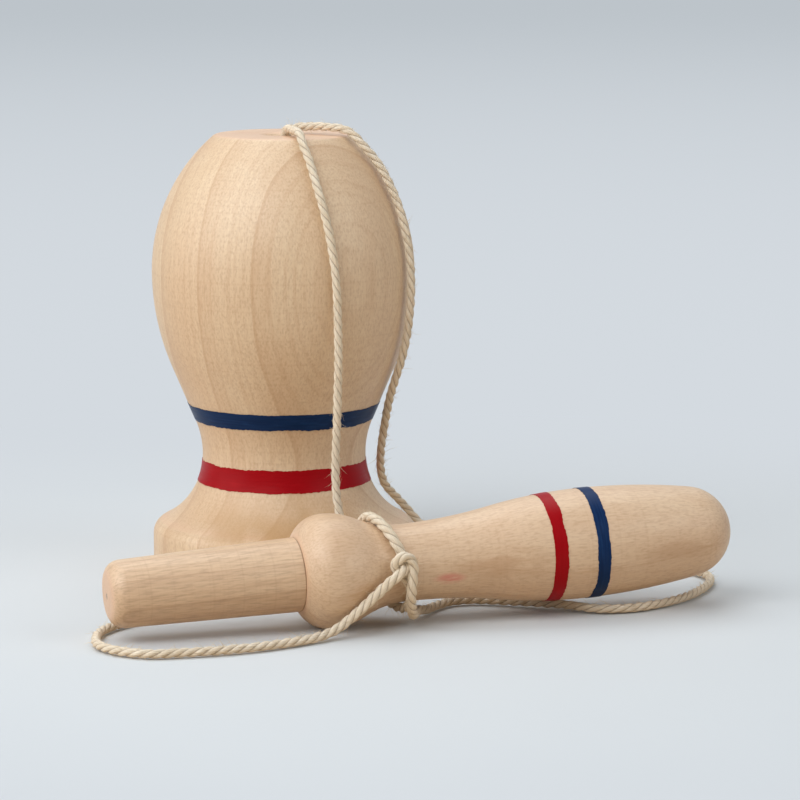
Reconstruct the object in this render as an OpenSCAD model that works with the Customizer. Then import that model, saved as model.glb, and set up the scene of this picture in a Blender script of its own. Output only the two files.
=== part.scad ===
// Bell-and-stick cup and ball toy: a turned bell head, a turned stick with a peg, and one cord.
// The bell stands upright on the surface with its socket underneath, and the stick lies in front of it.
// Origin: centre of the socket's mouth, on the surface. +Z is up, and the stick lies on the -Y side.

/* [Bell head] */
// Height of the head
head_h = 100; // [94:1:110]
// Widest diameter of the head, at its belly
belly_d = 60; // [56:0.5:64]
// Height of the belly's widest place
belly_z = 68.8; // [65:0.2:71]
// Diameter of the flat top, inside its edge
top_d = 29.3; // [26:0.1:33]
// Radius of the curve below the belly
belly_round = 56.5; // [44:0.5:60]
// Narrowest diameter, at the neck
neck_d = 37.5; // [35:0.5:40]
// Height of the neck
neck_z = 26.5; // [25:0.5:29]
// Radius of the hollow curve above the neck
neck_round = 21; // [16:0.5:26]
// Diameter of the flared base
base_d = 60.4; // [57:0.1:62]
// Height of the base's straight rim
rim_h = 8.3; // [5:0.1:9]
// Radius of the base's rounded shoulder
shoulder_round = 3.4; // [2.4:0.2:6]
// Radius of the edge round the flat top
top_edge_round = 2; // [1:0.25:3]

/* [Socket and cord hole] */
// Diameter of the peg's socket
socket_d = 20; // [18:0.5:22]
// Depth of the peg's socket
socket_depth = 48; // [46:1:49]
// Diameter of the pocket above the socket, which hides the stopper knot
pocket_d = 12.5; // [12:0.5:14]
// Height of the pocket's roof
pocket_roof_z = 58; // [58:0.5:60]
// Diameter of the cord's hole
cord_hole_d = 6.4; // [6.4:0.1:8]
// Radius of the eased edge where the cord leaves the top
hole_edge_round = 2.5; // [2.5:0.1:3]

/* [Stick] */
// Diameter of the bulb, which rests on the surface
bulb_d = 24.6; // [23:0.2:26]
// Length of the bulb from its widest place to the peg's seat
bulb_front = 6.4; // [5.5:0.1:8]
// Radius of the bulb's curve towards the neck
bulb_back_round = 16; // [12:0.5:20]
// Narrowest diameter behind the bulb, where the cord is tied
waist_d = 16.6; // [16:0.1:18]
// Distance from the bulb's widest place to the narrowest place
waist_u = 17; // [16:0.5:19]
// Widest diameter of the grip
grip_d = 23.9; // [23:0.1:25]
// Distance from the bulb's widest place to the widest place of the grip
grip_u = 58; // [54:0.5:62]
// Distance from the bulb's widest place to the end of the grip
end_u = 92; // [88:0.5:96]
// Radius of the grip's round end
end_round = 9.9; // [8:0.1:10.5]

/* [Peg] */
// Length of the peg in front of the bulb
peg_len = 41.2; // [38:0.1:44]
// Diameter of the peg at its tip
peg_tip_d = 14.4; // [13.6:0.1:15.4]
// Diameter of the peg at the bulb
peg_root_d = 15.9; // [15.4:0.1:16.4]
// Radius of the peg's rounded tip edge
peg_tip_round = 3.2; // [1:0.1:4]
// Diameter of the tenon that is glued into the bulb
tenon_d = 10; // [8:0.5:11]
// Length of the tenon
tenon_len = 16; // [12:0.5:18]
// Gap round the tenon for glue
glue_gap = 0.1; // [0.05:0.05:0.2]
// Width of the lip of bare end grain round the peg's seat
seat_lip = 0.25; // [0.05:0.05:0.5]

/* [Painted bands] */
// Lower edge of the red band on the head
head_red_z = 20.6; // [19:0.1:22]
// Width of the red band on the head
head_red_w = 4.4; // [3:0.1:6]
// Lower edge of the blue band on the head
head_blue_z = 35.2; // [33:0.1:37]
// Width of the blue band on the head
head_blue_w = 3.2; // [2:0.1:5]
// Start of the red band on the grip
grip_red_u = 47.8; // [44:0.1:49]
// Width of the red band on the grip
grip_red_w = 2.9; // [2:0.1:4]
// Start of the blue band on the grip
grip_blue_u = 57.4; // [55:0.1:60]
// Width of the blue band on the grip
grip_blue_w = 2.5; // [2:0.1:4]
// Thickness of the paint
paint_t = 0.12; // [0.08:0.01:0.2]
// Gap between a band's solid and the wood under it
paint_gap = 0.05; // [0.03:0.01:0.08]

/* [Cord] */
// Diameter of the cord
cord_d = 2.3; // [1.8:0.1:2.3]
// Diameter of the stopper knot
knot_d = 9.6; // [8.6:0.2:11]
// Height of the stopper knot
knot_h = 8; // [6:0.5:9]
// Gap between the cord and the wood that it lies on
cord_ease = 0.15; // [0.15:0.05:0.3]
// Gap between the stopper knot and the pocket's roof
knot_gap = 0.3; // [0.3:0.05:0.5]
// How far the noose leans along the stick, from its mean place to each side
noose_lean = 3.1; // [2:0.1:3.3]
// Mean distance of the noose from the bulb's widest place
noose_u = 13.4; // [13.2:0.1:13.9]

/* [How the stick lies] */
// Bulb's centre to the right of the head's axis
stick_x = 10.9; // [10:0.1:12]
// Bulb's centre in front of the head's axis
stick_front = 66.5; // [66:0.1:68]
// Turn of the stick seen from above, with the peg towards the front
stick_turn = 17.3; // [16:0.1:18]
// Lift of the grip, which lies on the cord
stick_lift = 2.7; // [2.6:0.02:3]

/* [Hidden] */

$fn = 96;
arc_steps = 14;
band_steps = 6;
cord_sides = 8;
wood = "#e0c49c";
peg_wood = "#d8b88e";
red_paint = "#a5121d";
blue_paint = "#1f3560";
cotton = "#d6c7a8";

head_r = belly_d / 2;
throat_r = neck_d / 2;
base_r = base_d / 2;
bulb_r = bulb_d / 2;
waist_r = waist_d / 2;
grip_r = grip_d / 2;
cord_r = cord_d / 2;
seat_r = peg_root_d / 2 + seat_lip;

// Geometry helpers
function unit(v) = v / norm(v);
function arc(c, r, from, to) =
    [for (i = [0 : arc_steps]) let (a = from + (to - from) * i / arc_steps) c + r * [cos(a), sin(a)]];

// Two arcs that stand square to the axis at stations (r1, z1) and (r2, z2) touch when their radii
// add up to this
function touching_sum(r1, z1, r2, z2) = (pow(r1 - r2, 2) + pow(z1 - z2, 2)) / (2 * abs(r1 - r2));

// Angle of the line of centres, turned so that one straight line touches both arcs
function touch_angle(c1, r1, c2, r2) =
    atan2(c2[1] - c1[1], c2[0] - c1[0]) + acos(min(1, (r1 + r2) / norm(c2 - c1)));

// Head outline, as [radius, height]
// The curve below the belly is no larger than what still meets the neck's curve
lower_round = min(belly_round, touching_sum(head_r, belly_z, throat_r, neck_z) - neck_round);
belly_c = [head_r - lower_round, belly_z];
neck_c = [throat_r + neck_round, neck_z];
shoulder_c = [base_r - shoulder_round, rim_h];
cove_round = touching_sum(base_r, rim_h, throat_r, neck_z) - shoulder_round;
cove_c = [throat_r + cove_round, neck_z];
cove_angle = atan2(cove_c[1] - shoulder_c[1], cove_c[0] - shoulder_c[0]);
taper_angle = touch_angle(belly_c, lower_round, neck_c, neck_round);
edge_c = [top_d / 2, head_h - top_edge_round];
crown_in = head_r - top_d / 2;
crown_round = (pow(crown_in, 2) + pow(edge_c[1] - belly_z, 2) - pow(top_edge_round, 2))
              / (2 * (crown_in - top_edge_round));
crown_c = [head_r - crown_round, belly_z];
edge_angle = atan2(edge_c[1] - crown_c[1], edge_c[0] - crown_c[0]);

head_outline = concat(
    [[base_r, 0]],
    arc(shoulder_c, shoulder_round, 0, cove_angle),
    arc(cove_c, cove_round, cove_angle + 180, 180),
    arc(neck_c, neck_round, 180, taper_angle + 180),
    arc(belly_c, lower_round, taper_angle, 0),
    arc(crown_c, crown_round, 0, edge_angle),
    arc(edge_c, top_edge_round, edge_angle, 90),
    [[0, head_h]]);

// The cord's hole widens at the top in a small round
hole_edge_c = [cord_hole_d / 2 + hole_edge_round, head_h - hole_edge_round];

// Stick outline, as [radius, distance along the stick from the bulb's widest place]
front_round = (pow(bulb_front, 2) + pow(bulb_r - seat_r, 2)) / (2 * (bulb_r - seat_r));
waist_round = touching_sum(bulb_r, 0, waist_r, waist_u) - bulb_back_round;
swell_round = touching_sum(grip_r, grip_u, waist_r, waist_u) / 2;
ball_u = end_u - end_round;
fall_round = (pow(ball_u - grip_u, 2) + pow(grip_r, 2) - pow(end_round, 2)) / (2 * (grip_r - end_round));
front_c = [bulb_r - front_round, 0];
back_c = [bulb_r - bulb_back_round, 0];
waist_c = [waist_r + waist_round, waist_u];
rise_c = [waist_r + swell_round, waist_u];
swell_c = [grip_r - swell_round, grip_u];
fall_c = [grip_r - fall_round, grip_u];
ball_c = [0, ball_u];
front_angle = -asin(bulb_front / front_round);
back_angle = atan2(waist_c[1] - back_c[1], waist_c[0] - back_c[0]);
swell_angle = atan2(swell_c[1] - rise_c[1], swell_c[0] - rise_c[0]);
fall_angle = atan2(ball_c[1] - fall_c[1], ball_c[0] - fall_c[0]);

grip_outline = concat(
    [[0, -bulb_front]],
    arc(front_c, front_round, front_angle, 0),
    arc(back_c, bulb_back_round, 0, back_angle),
    arc(waist_c, waist_round, back_angle + 180, 180),
    arc(rise_c, swell_round, 180, swell_angle),
    arc(swell_c, swell_round, swell_angle - 180, 0),
    arc(fall_c, fall_round, 0, fall_angle),
    arc(ball_c, end_round, fall_angle, 90));

// Radius of an outline at a station, read between its two nearest points
function at_station(outline, z) =
    let (hits = [for (i = [0 : len(outline) - 2])
                 if (outline[i][1] <= z && z < outline[i + 1][1]) i])
    let (a = outline[hits[0]], b = outline[hits[0] + 1])
    a[0] + (b[0] - a[0]) * (z - a[1]) / (b[1] - a[1]);

// Where the stick lies
stick_at = [stick_x, -stick_front, bulb_r / cos(stick_lift)];
along = [cos(stick_lift) * cos(stick_turn), cos(stick_lift) * sin(stick_turn), sin(stick_lift)];
behind = [-sin(stick_turn), cos(stick_turn), 0];
above = cross(along, behind);
function on_stick(p) = stick_at + p[0] * along + p[1] * behind + p[2] * above;

module lay_stick() {
    translate(stick_at) rotate([0, -stick_lift, stick_turn]) rotate([0, 90, 0]) children();
}

// Cord routes, in order from the stopper knot to the noose
knot_top_z = pocket_roof_z - knot_gap;

front_drape_route = [
    [0, -1.5, knot_top_z], [0, -1.5, 68], [0, -1.5, 78], [0, -1.5, 88], [0.2, -1.5, 95.5], [0.5, -1.8, 98.6],
    [0.8, -2.7, 100.4], [1.2, -4.3, 101.4], [1.9, -6.8, 101.6], [2.9, -10.4, 101.5], [3.7, -13.6, 101.5],
    [4.3, -15.7, 101.2], [5, -18, 99.3], [6.6, -21, 95.6], [8.3, -24.3, 90.4], [9.9, -26.4, 85.1],
    [11.2, -27.9, 79.6], [12.2, -28.8, 73.6], [12.8, -29.1, 67],
    [13, -29.1, 60], [13.1, -29.1, 52.5], [12.9, -29.1, 45], [12.7, -29.2, 37.5], [12.4, -29.3, 30],
    [12.5, -29.5, 23], [13.3, -30, 17], [13.6, -31, 12], [13.4, -32.3, 8.2]];

left_run_route = concat([
    [13.1, -32.7, 7.6], [11.6, -34.8, 3.6], [8, -38, 1.5], [2, -41.8, 1.2], [-5, -46, 1.2],
    [-12.5, -50.6, 1.2], [-20, -55.6, 1.2], [-27, -61.2, 1.2], [-32.6, -67.8, 1.2], [-35.8, -74, 1.2],
    [-36.8, -81, 1.2], [-35.6, -88.2, 1.2], [-31.2, -93.4, 1.2], [-24.6, -96.2, 1.2], [-17.2, -95, 1.2],
    [-10, -93, 1.2], [-3, -90, 1.2], [3.8, -85.8, 1.2], [9.4, -81.4, 1.3], [13.6, -78, 2.4],
    [17.2, -76.6, 5], [20.6, -75.8, 8]],
    [for (p = [[10, -11.6, -1.8], [12.3, -12.1, 0]]) on_stick(p)]);

right_drape_route = [
    [0, 1.5, knot_top_z], [0, 1.5, 68], [0, 1.5, 78], [0, 1.5, 88], [0.1, 1.5, 95.5], [0.5, 1.4, 98.4],
    [1.4, 1.2, 100.2], [3.2, 0.7, 101.4], [5.8, -0.7, 101.7], [8.4, -2.4, 101.9], [11, -4.2, 101.8],
    [13.7, -5.9, 101.6], [15.9, -7, 100.6], [18.6, -7.9, 97.8],
    [21.5, -8.4, 94.4], [24.1, -9.8, 90], [26.3, -10.9, 84.9], [27.8, -11.8, 79.6], [28.8, -12.3, 74],
    [29.2, -12.3, 68], [29, -11.9, 61.8], [28.4, -10.8, 56], [27.2, -9.3, 50], [25.6, -7.4, 44.6],
    [24.2, -4.4, 39.2], [23.2, -1.4, 33.4], [22.4, 1.4, 27.8], [22.2, 4.5, 22.4], [23.1, 7.7, 17.9],
    [25.4, 10.8, 14.6], [28.1, 13.4, 11.2], [30.8, 14.7, 7.8], [34, 15.2, 5.2]];

right_run_route = concat([
    [34.5, 15.3, 4.8], [39.2, 15, 2.2], [46, 13.4, 1.2], [54, 10.6, 1.2], [62, 7.4, 1.2], [70, 3.8, 1.2],
    [78, -0.6, 1.2], [85.6, -5.2, 1.2], [92.2, -10.4, 1.2], [96.2, -16.6, 1.2], [96.4, -24, 1.2],
    [94, -32, 1.2], [89.8, -40.2, 1.2], [84, -47, 1.2], [77.2, -51.8, 1.2], [70, -53.2, 1.3],
    [63.2, -50.4, 1.5], [56.6, -47.1, 1.3], [50, -45, 1.2], [43.6, -43.8, 1.2], [38.4, -45, 1.2],
    [35, -49, 1.2]],
    [for (p = [[23.4, 4.6, -11.9], [20, 0.6, -10.9], [17.8, -4, -10.6], [16.3, -8, -8.2], [15.5, -10.6, -5.4],
               [15.4, -12, -2.4], [15.7, -12.3, 0.2], [15.7, -12.3, 2.2], [15, -12.4, 3.6], [13.8, -12.4, 4.1],
               [12.8, -12, 3.5], [12.3, -11.1, 2.5], [12.6, -10.4, 1.3], [13.5, -10.2, 0.1], [14.4, -10, -1]])
        on_stick(p)]);

// Noose: one turn round the waist from the knot over the top, down the back and up the front again
noose_from = 160;
noose_to = -150;
noose_steps = 21;
noose_phase = 130;
noose_start = [[12.3, -12.1, 0], [13.9, -11.8, 1.3]];
noose_end = [[15.8, -9.6, -2.9], [14.4, -10, -1]];
function noose_point(a) =
    let (u = noose_u + noose_lean * cos(a + noose_phase))
    let (r = at_station(grip_outline, u) + cord_r + cord_ease)
    [u, r * cos(a), r * sin(a)];
noose_turn = [for (i = [0 : noose_steps]) noose_point(noose_from + (noose_to - noose_from) * i / noose_steps)];
noose_route = [for (p = concat(noose_start, noose_turn, noose_end)) on_stick(p)];

// Least gap of the noose to itself, between points that lie further apart along it than its own turn
noose_skip = 8;
noose_gap = min([for (i = [0 : len(noose_route) - 1 - noose_skip])
                 for (j = [i + noose_skip : len(noose_route) - 1])
                 norm(noose_route[i] - noose_route[j])]) - cord_d;
echo(noose_least_gap_mm = noose_gap);

// A round cord along a route: one ring of points at each route point, carried along without twist
function route_way(p, i) = unit(p[min(i + 1, len(p) - 1)] - p[max(i - 1, 0)]);
function ring_sides(p, start) =
    [for (i = 0, n = start; i < len(p);
          i = i + 1, n = i < len(p) ? unit(n - (n * route_way(p, i)) * route_way(p, i)) : n) n];

module cord_along(p) {
    way = route_way(p, 0);
    seed = abs(way[2]) > 0.8 ? [1, 0, 0] : [0, 0, 1];
    side = ring_sides(p, unit(seed - (seed * way) * way));
    n = cord_sides;
    last = len(p) - 1;
    points = [for (i = [0 : last]) let (w = route_way(p, i), s = side[i], t = cross(w, s))
              for (k = [0 : n - 1]) p[i] + cord_r * (s * cos(360 * k / n) + t * sin(360 * k / n))];
    walls = [for (i = [0 : last - 1]) for (k = [0 : n - 1])
             let (a = i * n + k, b = i * n + (k + 1) % n)
             each [[a, a + n, b], [b, a + n, b + n]]];
    start_cap = [for (k = [1 : n - 2]) [0, k, k + 1]];
    end_cap = [for (k = [1 : n - 2]) [last * n, last * n + k + 1, last * n + k]];
    polyhedron(points, concat(walls, start_cap, end_cap), convexity = 10);
}

// A painted band: a thin film over an outline between two stations
module painted_film(outline, from, width) {
    stations = [for (i = [0 : band_steps]) from + width * i / band_steps];
    outer = [for (z = stations) [at_station(outline, z) + paint_gap + paint_t, z]];
    inner = [for (z = stations) [at_station(outline, z) + paint_gap, z]];
    back = [for (i = [band_steps : -1 : 0]) inner[i]];
    rotate_extrude() polygon(concat(outer, back));
}

// Sub-parts
module head_body() {
    color(wood) difference() {
        rotate_extrude() polygon(concat([[0, 0]], head_outline));
        translate([0, 0, -1]) cylinder(d = socket_d, h = socket_depth + 1);
        cylinder(d = pocket_d, h = pocket_roof_z);
        cylinder(d = cord_hole_d, h = head_h + 1);
        rotate_extrude() polygon(concat([[0, head_h + 1], [0, hole_edge_c[1]]],
                                        arc(hole_edge_c, hole_edge_round, 180, 90),
                                        [[hole_edge_c[0], head_h + 1]]));
    }
}

module head_red_band() {
    color(red_paint) painted_film(head_outline, head_red_z, head_red_w);
}

module head_blue_band() {
    color(blue_paint) painted_film(head_outline, head_blue_z, head_blue_w);
}

module handle_grip() {
    color(wood) lay_stick() difference() {
        rotate_extrude() polygon(grip_outline);
        translate([0, 0, -bulb_front - 1])
            cylinder(d = tenon_d + 2 * glue_gap, h = tenon_len + glue_gap + 1);
    }
}

// The peg's shoulder sits flat on the bulb's seat, with its tenon glued in behind
module handle_peg() {
    tip_c = [peg_tip_d / 2 - peg_tip_round, peg_tip_round - peg_len];
    color(peg_wood) lay_stick() translate([0, 0, -bulb_front]) rotate_extrude()
        polygon(concat([[0, -peg_len]], arc(tip_c, peg_tip_round, -90, 0),
                       [[peg_root_d / 2, 0], [tenon_d / 2, 0], [tenon_d / 2, tenon_len], [0, tenon_len]]));
}

module handle_red_band() {
    color(red_paint) lay_stick() painted_film(grip_outline, grip_red_u, grip_red_w);
}

module handle_blue_band() {
    color(blue_paint) lay_stick() painted_film(grip_outline, grip_blue_u, grip_blue_w);
}

module cord_front_drape() {
    color(cotton) cord_along(front_drape_route);
}

module cord_right_drape() {
    color(cotton) cord_along(right_drape_route);
}

// Both ends of the cord are tied in one knot, too large for the cord's hole
module cord_stopper_knot() {
    waist = knot_d / 2 - cord_r / 2;
    color(cotton) translate([0, 0, knot_top_z - knot_h]) rotate_extrude()
        polygon([[0, 0], [waist, 0], [knot_d / 2, knot_h / 3], [knot_d / 2, 2 * knot_h / 3],
                 [waist, knot_h], [0, knot_h]]);
}

module cord_left_run() {
    color(cotton) cord_along(left_run_route);
}

module cord_right_run() {
    color(cotton) cord_along(right_run_route);
}

module cord_noose() {
    color(cotton) cord_along(noose_route);
}

head_body();
head_red_band();
head_blue_band();
handle_grip();
handle_peg();
handle_red_band();
handle_blue_band();
cord_front_drape();
cord_right_drape();
cord_stopper_knot();
cord_left_run();
cord_right_run();
cord_noose();
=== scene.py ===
import random
from math import acos, asin, atan2, ceil, cos, degrees, exp, hypot, pi, radians, sin, sqrt

import bpy
from mathutils import Euler, Matrix, Vector, geometry, noise


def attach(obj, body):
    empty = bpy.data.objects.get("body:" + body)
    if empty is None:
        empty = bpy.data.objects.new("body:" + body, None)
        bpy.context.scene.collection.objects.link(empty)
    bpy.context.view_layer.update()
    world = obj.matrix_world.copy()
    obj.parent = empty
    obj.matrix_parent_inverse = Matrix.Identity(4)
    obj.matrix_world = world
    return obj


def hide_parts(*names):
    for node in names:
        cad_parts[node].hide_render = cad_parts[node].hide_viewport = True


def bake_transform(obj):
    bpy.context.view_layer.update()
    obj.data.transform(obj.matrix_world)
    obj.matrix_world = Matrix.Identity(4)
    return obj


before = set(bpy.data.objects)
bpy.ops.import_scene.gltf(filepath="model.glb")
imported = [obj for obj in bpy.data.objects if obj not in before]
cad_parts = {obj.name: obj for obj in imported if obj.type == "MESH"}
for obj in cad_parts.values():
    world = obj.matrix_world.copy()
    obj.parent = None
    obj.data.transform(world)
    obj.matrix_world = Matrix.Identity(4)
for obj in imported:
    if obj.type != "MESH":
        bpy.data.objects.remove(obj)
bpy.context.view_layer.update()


# Camera
# A long lens stands low in front of the toy and looks straight along +Y and a little down.
# The toy's sizes are real millimetres, turned to metres by mm. The studio's are in metres.
mm = 0.001
scene = bpy.context.scene
camera_lens = bpy.data.cameras.new("camera")
camera_lens.lens = 158.4
camera_lens.sensor_width = 36
camera = bpy.data.objects.new("camera", camera_lens)
camera.location = (26.7 * mm, -800 * mm, 164 * mm)
camera.rotation_euler = (radians(81.1), 0, 0)
scene.collection.objects.link(camera)
scene.camera = camera


# Bell head
# One block of pale hardwood, turned on the lathe between centres with the grain upright. The
# socket is drilled from below, a pocket above it hides the cord's knot, and a hole leads to the
# top.
head_h = 100 * mm
belly_r = 30 * mm
belly_z = 68.8 * mm
belly_round = 56.5 * mm
neck_r = 18.75 * mm
neck_z = 26.5 * mm
neck_round = 21 * mm
base_r = 30.2 * mm
rim_h = 8.3 * mm
shoulder_round = 3.4 * mm
flat_top_r = 14.65 * mm
top_edge_round = 2 * mm
socket_r = 10 * mm
socket_depth = 48 * mm
socket_edge = 0.8 * mm
pocket_r = 6.25 * mm
pocket_roof_z = 58 * mm
cord_hole_r = 3.2 * mm
hole_edge_round = 2.5 * mm
foot_edge_round = 0.7 * mm
outline_step = 1.1 * mm
arc_least_steps = 5
lathe_segments = 160
least_step = 0.001 * mm
merge_gap = 0.002 * mm
smooth_angle = 40


def arc(centre, radius, start, end):
    """Points of a round stretch of an outline, from one angle to another in degrees."""
    steps = max(arc_least_steps, ceil(radius * abs(radians(end - start)) / outline_step))
    angles = [radians(start + (end - start) * i / steps) for i in range(steps + 1)]
    return [(centre[0] + radius * cos(a), centre[1] + radius * sin(a)) for a in angles]


def bearing(a, b):
    """Direction in degrees from one centre to another."""
    return degrees(atan2(b[1] - a[1], b[0] - a[0]))


def touching_sum(r1, z1, r2, z2):
    """Sum of the radii of two arcs that touch and stand square to the axis at two stations."""
    return ((r1 - r2) ** 2 + (z1 - z2) ** 2) / (2 * abs(r1 - r2))


def touch_angle(c1, r1, c2, r2):
    """Angle at which one straight line leaves the first arc to touch the second."""
    apart = hypot(c2[0] - c1[0], c2[1] - c1[1])
    return bearing(c1, c2) + degrees(acos(min(1, (r1 + r2) / apart)))


def radius_at(outline, station):
    """Radius of an outline at a station along its axis."""
    for (r0, z0), (r1, z1) in zip(outline, outline[1:]):
        if z0 <= station < z1:
            return r0 + (r1 - r0) * (station - z0) / (z1 - z0)
    raise ValueError("station is off the outline")


belly_c = (belly_r - belly_round, belly_z)
neck_c = (neck_r + neck_round, neck_z)
shoulder_c = (base_r - shoulder_round, rim_h)
cove_round = touching_sum(base_r, rim_h, neck_r, neck_z) - shoulder_round
cove_c = (neck_r + cove_round, neck_z)
cove_angle = bearing(shoulder_c, cove_c)
taper_angle = touch_angle(belly_c, belly_round, neck_c, neck_round)
top_edge_c = (flat_top_r, head_h - top_edge_round)
crown_in = belly_r - flat_top_r
crown_round = ((crown_in ** 2 + (top_edge_c[1] - belly_z) ** 2 - top_edge_round ** 2)
               / (2 * (crown_in - top_edge_round)))
crown_c = (belly_r - crown_round, belly_z)
top_edge_angle = bearing(crown_c, top_edge_c)

head_outside = (
    arc((base_r - foot_edge_round, foot_edge_round), foot_edge_round, -90, 0)
    + arc(shoulder_c, shoulder_round, 0, cove_angle)
    + arc(cove_c, cove_round, cove_angle + 180, 180)
    + arc(neck_c, neck_round, 180, taper_angle + 180)
    + arc(belly_c, belly_round, taper_angle, 0)
    + arc(crown_c, crown_round, 0, top_edge_angle)
    + arc(top_edge_c, top_edge_round, top_edge_angle, 90))
head_inside = (
    arc((cord_hole_r + hole_edge_round, head_h - hole_edge_round), hole_edge_round, 90, 180)
    + [(cord_hole_r, pocket_roof_z), (pocket_r, pocket_roof_z), (pocket_r, socket_depth),
       (socket_r, socket_depth), (socket_r, socket_edge), (socket_r + socket_edge, 0)])


def turn(name, outline, closed=False, segments=lathe_segments):
    """A turned piece: one point is drawn along the outline, and the line is spun round the Z axis."""
    bpy.ops.object.select_all(action="DESELECT")
    bpy.ops.mesh.primitive_plane_add(size=mm)
    piece = bpy.context.object
    piece.name = name
    bpy.ops.object.mode_set(mode="EDIT")
    bpy.ops.mesh.select_all(action="SELECT")
    bpy.ops.mesh.merge(type="CENTER")
    bpy.ops.transform.translate(value=(outline[0][0], 0, outline[0][1]))
    stations = outline + outline[:1] if closed else outline
    for (r0, z0), (r1, z1) in zip(stations, stations[1:]):
        if hypot(r1 - r0, z1 - z0) > least_step:
            bpy.ops.mesh.extrude_region_move(
                TRANSFORM_OT_translate={"value": (r1 - r0, 0, z1 - z0)})
    bpy.ops.mesh.select_all(action="SELECT")
    bpy.ops.mesh.spin(steps=segments, angle=2 * pi, center=(0, 0, 0), axis=(0, 0, 1))
    bpy.ops.mesh.select_all(action="SELECT")
    bpy.ops.mesh.remove_doubles(threshold=merge_gap)
    bpy.ops.mesh.normals_make_consistent(inside=False)
    bpy.ops.object.mode_set(mode="OBJECT")
    bpy.ops.object.shade_smooth_by_angle(angle=radians(smooth_angle))
    return piece


def linear(hex_colour):
    """Linear RGBA of an sRGB hex colour, by the curve of the sRGB standard."""
    parts = [int(hex_colour[i:i + 2], 16) / 255 for i in (1, 3, 5)]
    return [c / 12.92 if c <= 0.04045 else ((c + 0.055) / 1.055) ** 2.4 for c in parts] + [1]


def add(tree, kind, inputs=None, **settings):
    """Adds a node with its settings. An input is a value, or another node's socket that is linked."""
    node = tree.nodes.new(kind)
    for key, value in settings.items():
        setattr(node, key, value)
    for key, value in (inputs or {}).items():
        if isinstance(value, bpy.types.NodeSocket):
            tree.links.new(value, node.inputs[key])
        else:
            node.inputs[key].default_value = value
    return node


def over(tree, base, share, amount, colour):
    """Lays a hex colour over a base colour, by a share of the surface times an amount."""
    strength = add(tree, "ShaderNodeMath", {0: share, 1: amount}, operation="MULTIPLY")
    # A colour mix has its share at input 0, its two colours at 6 and 7, and its result at output 2
    mix = add(tree, "ShaderNodeMix", {0: strength.outputs[0], 6: base, 7: linear(colour)},
              data_type="RGBA")
    return mix.outputs[2]


def new_material(name):
    """A material with its tree and its shader."""
    material = bpy.data.materials.new(name)
    material.use_nodes = True
    return material, material.node_tree, material.node_tree.nodes["Principled BSDF"]


def piece_axes(tree, place):
    """A piece's coordinates in the frame, and the same along the axes that it was turned on."""
    seat = add(tree, "ShaderNodeTexCoord")
    grain = add(tree, "ShaderNodeMapping",
                {"Vector": seat.outputs["Object"], "Location": place.to_translation(),
                 "Rotation": place.to_euler()}, vector_type="TEXTURE", name="grain")
    return seat, grain.outputs["Vector"]


def streaks(tree, along, size, detail, contrast, seed):
    """Noise whose spots have a size in metres along each axis, with its contrast raised."""
    spots = add(tree, "ShaderNodeVectorMath", {0: along, 1: [1 / s for s in size]},
                operation="MULTIPLY")
    moved = add(tree, "ShaderNodeVectorMath",
                {0: spots.outputs[0], 1: (seed, 2 * seed, 3 * seed)})
    cloud = add(tree, "ShaderNodeTexNoise",
                {"Vector": moved.outputs[0], "Scale": 1, "Detail": detail})
    raised = add(tree, "ShaderNodeMapRange",
                 {"Value": cloud.outputs["Fac"], "From Min": contrast[0], "From Max": contrast[1]},
                 interpolation_type="SMOOTHSTEP")
    return raised.outputs["Result"]


# Pale hardwood, turned and burnished: a low, soft gloss, a few broad growth rings with a thin
# darker line at the end of each, fine growth lines between them, fibres along the piece, specks,
# and pinker end grain. The fibres are really 0.02 mm wide and are drawn 0.35 mm wide, so that
# they show.
ring_wander = 1.6 * mm
ring_start_shade = 0.08
ring_shades = ((0.45, 0.12), (0.75, 0.35), (0.93, 0.6), (0.96, 1), (0.98, 1))
growth_line_gap = 1.1 * mm
growth_line_share = 0.35
tool_mark_gap = 0.7 * mm
wood_relief = 0.05 * mm


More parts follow.
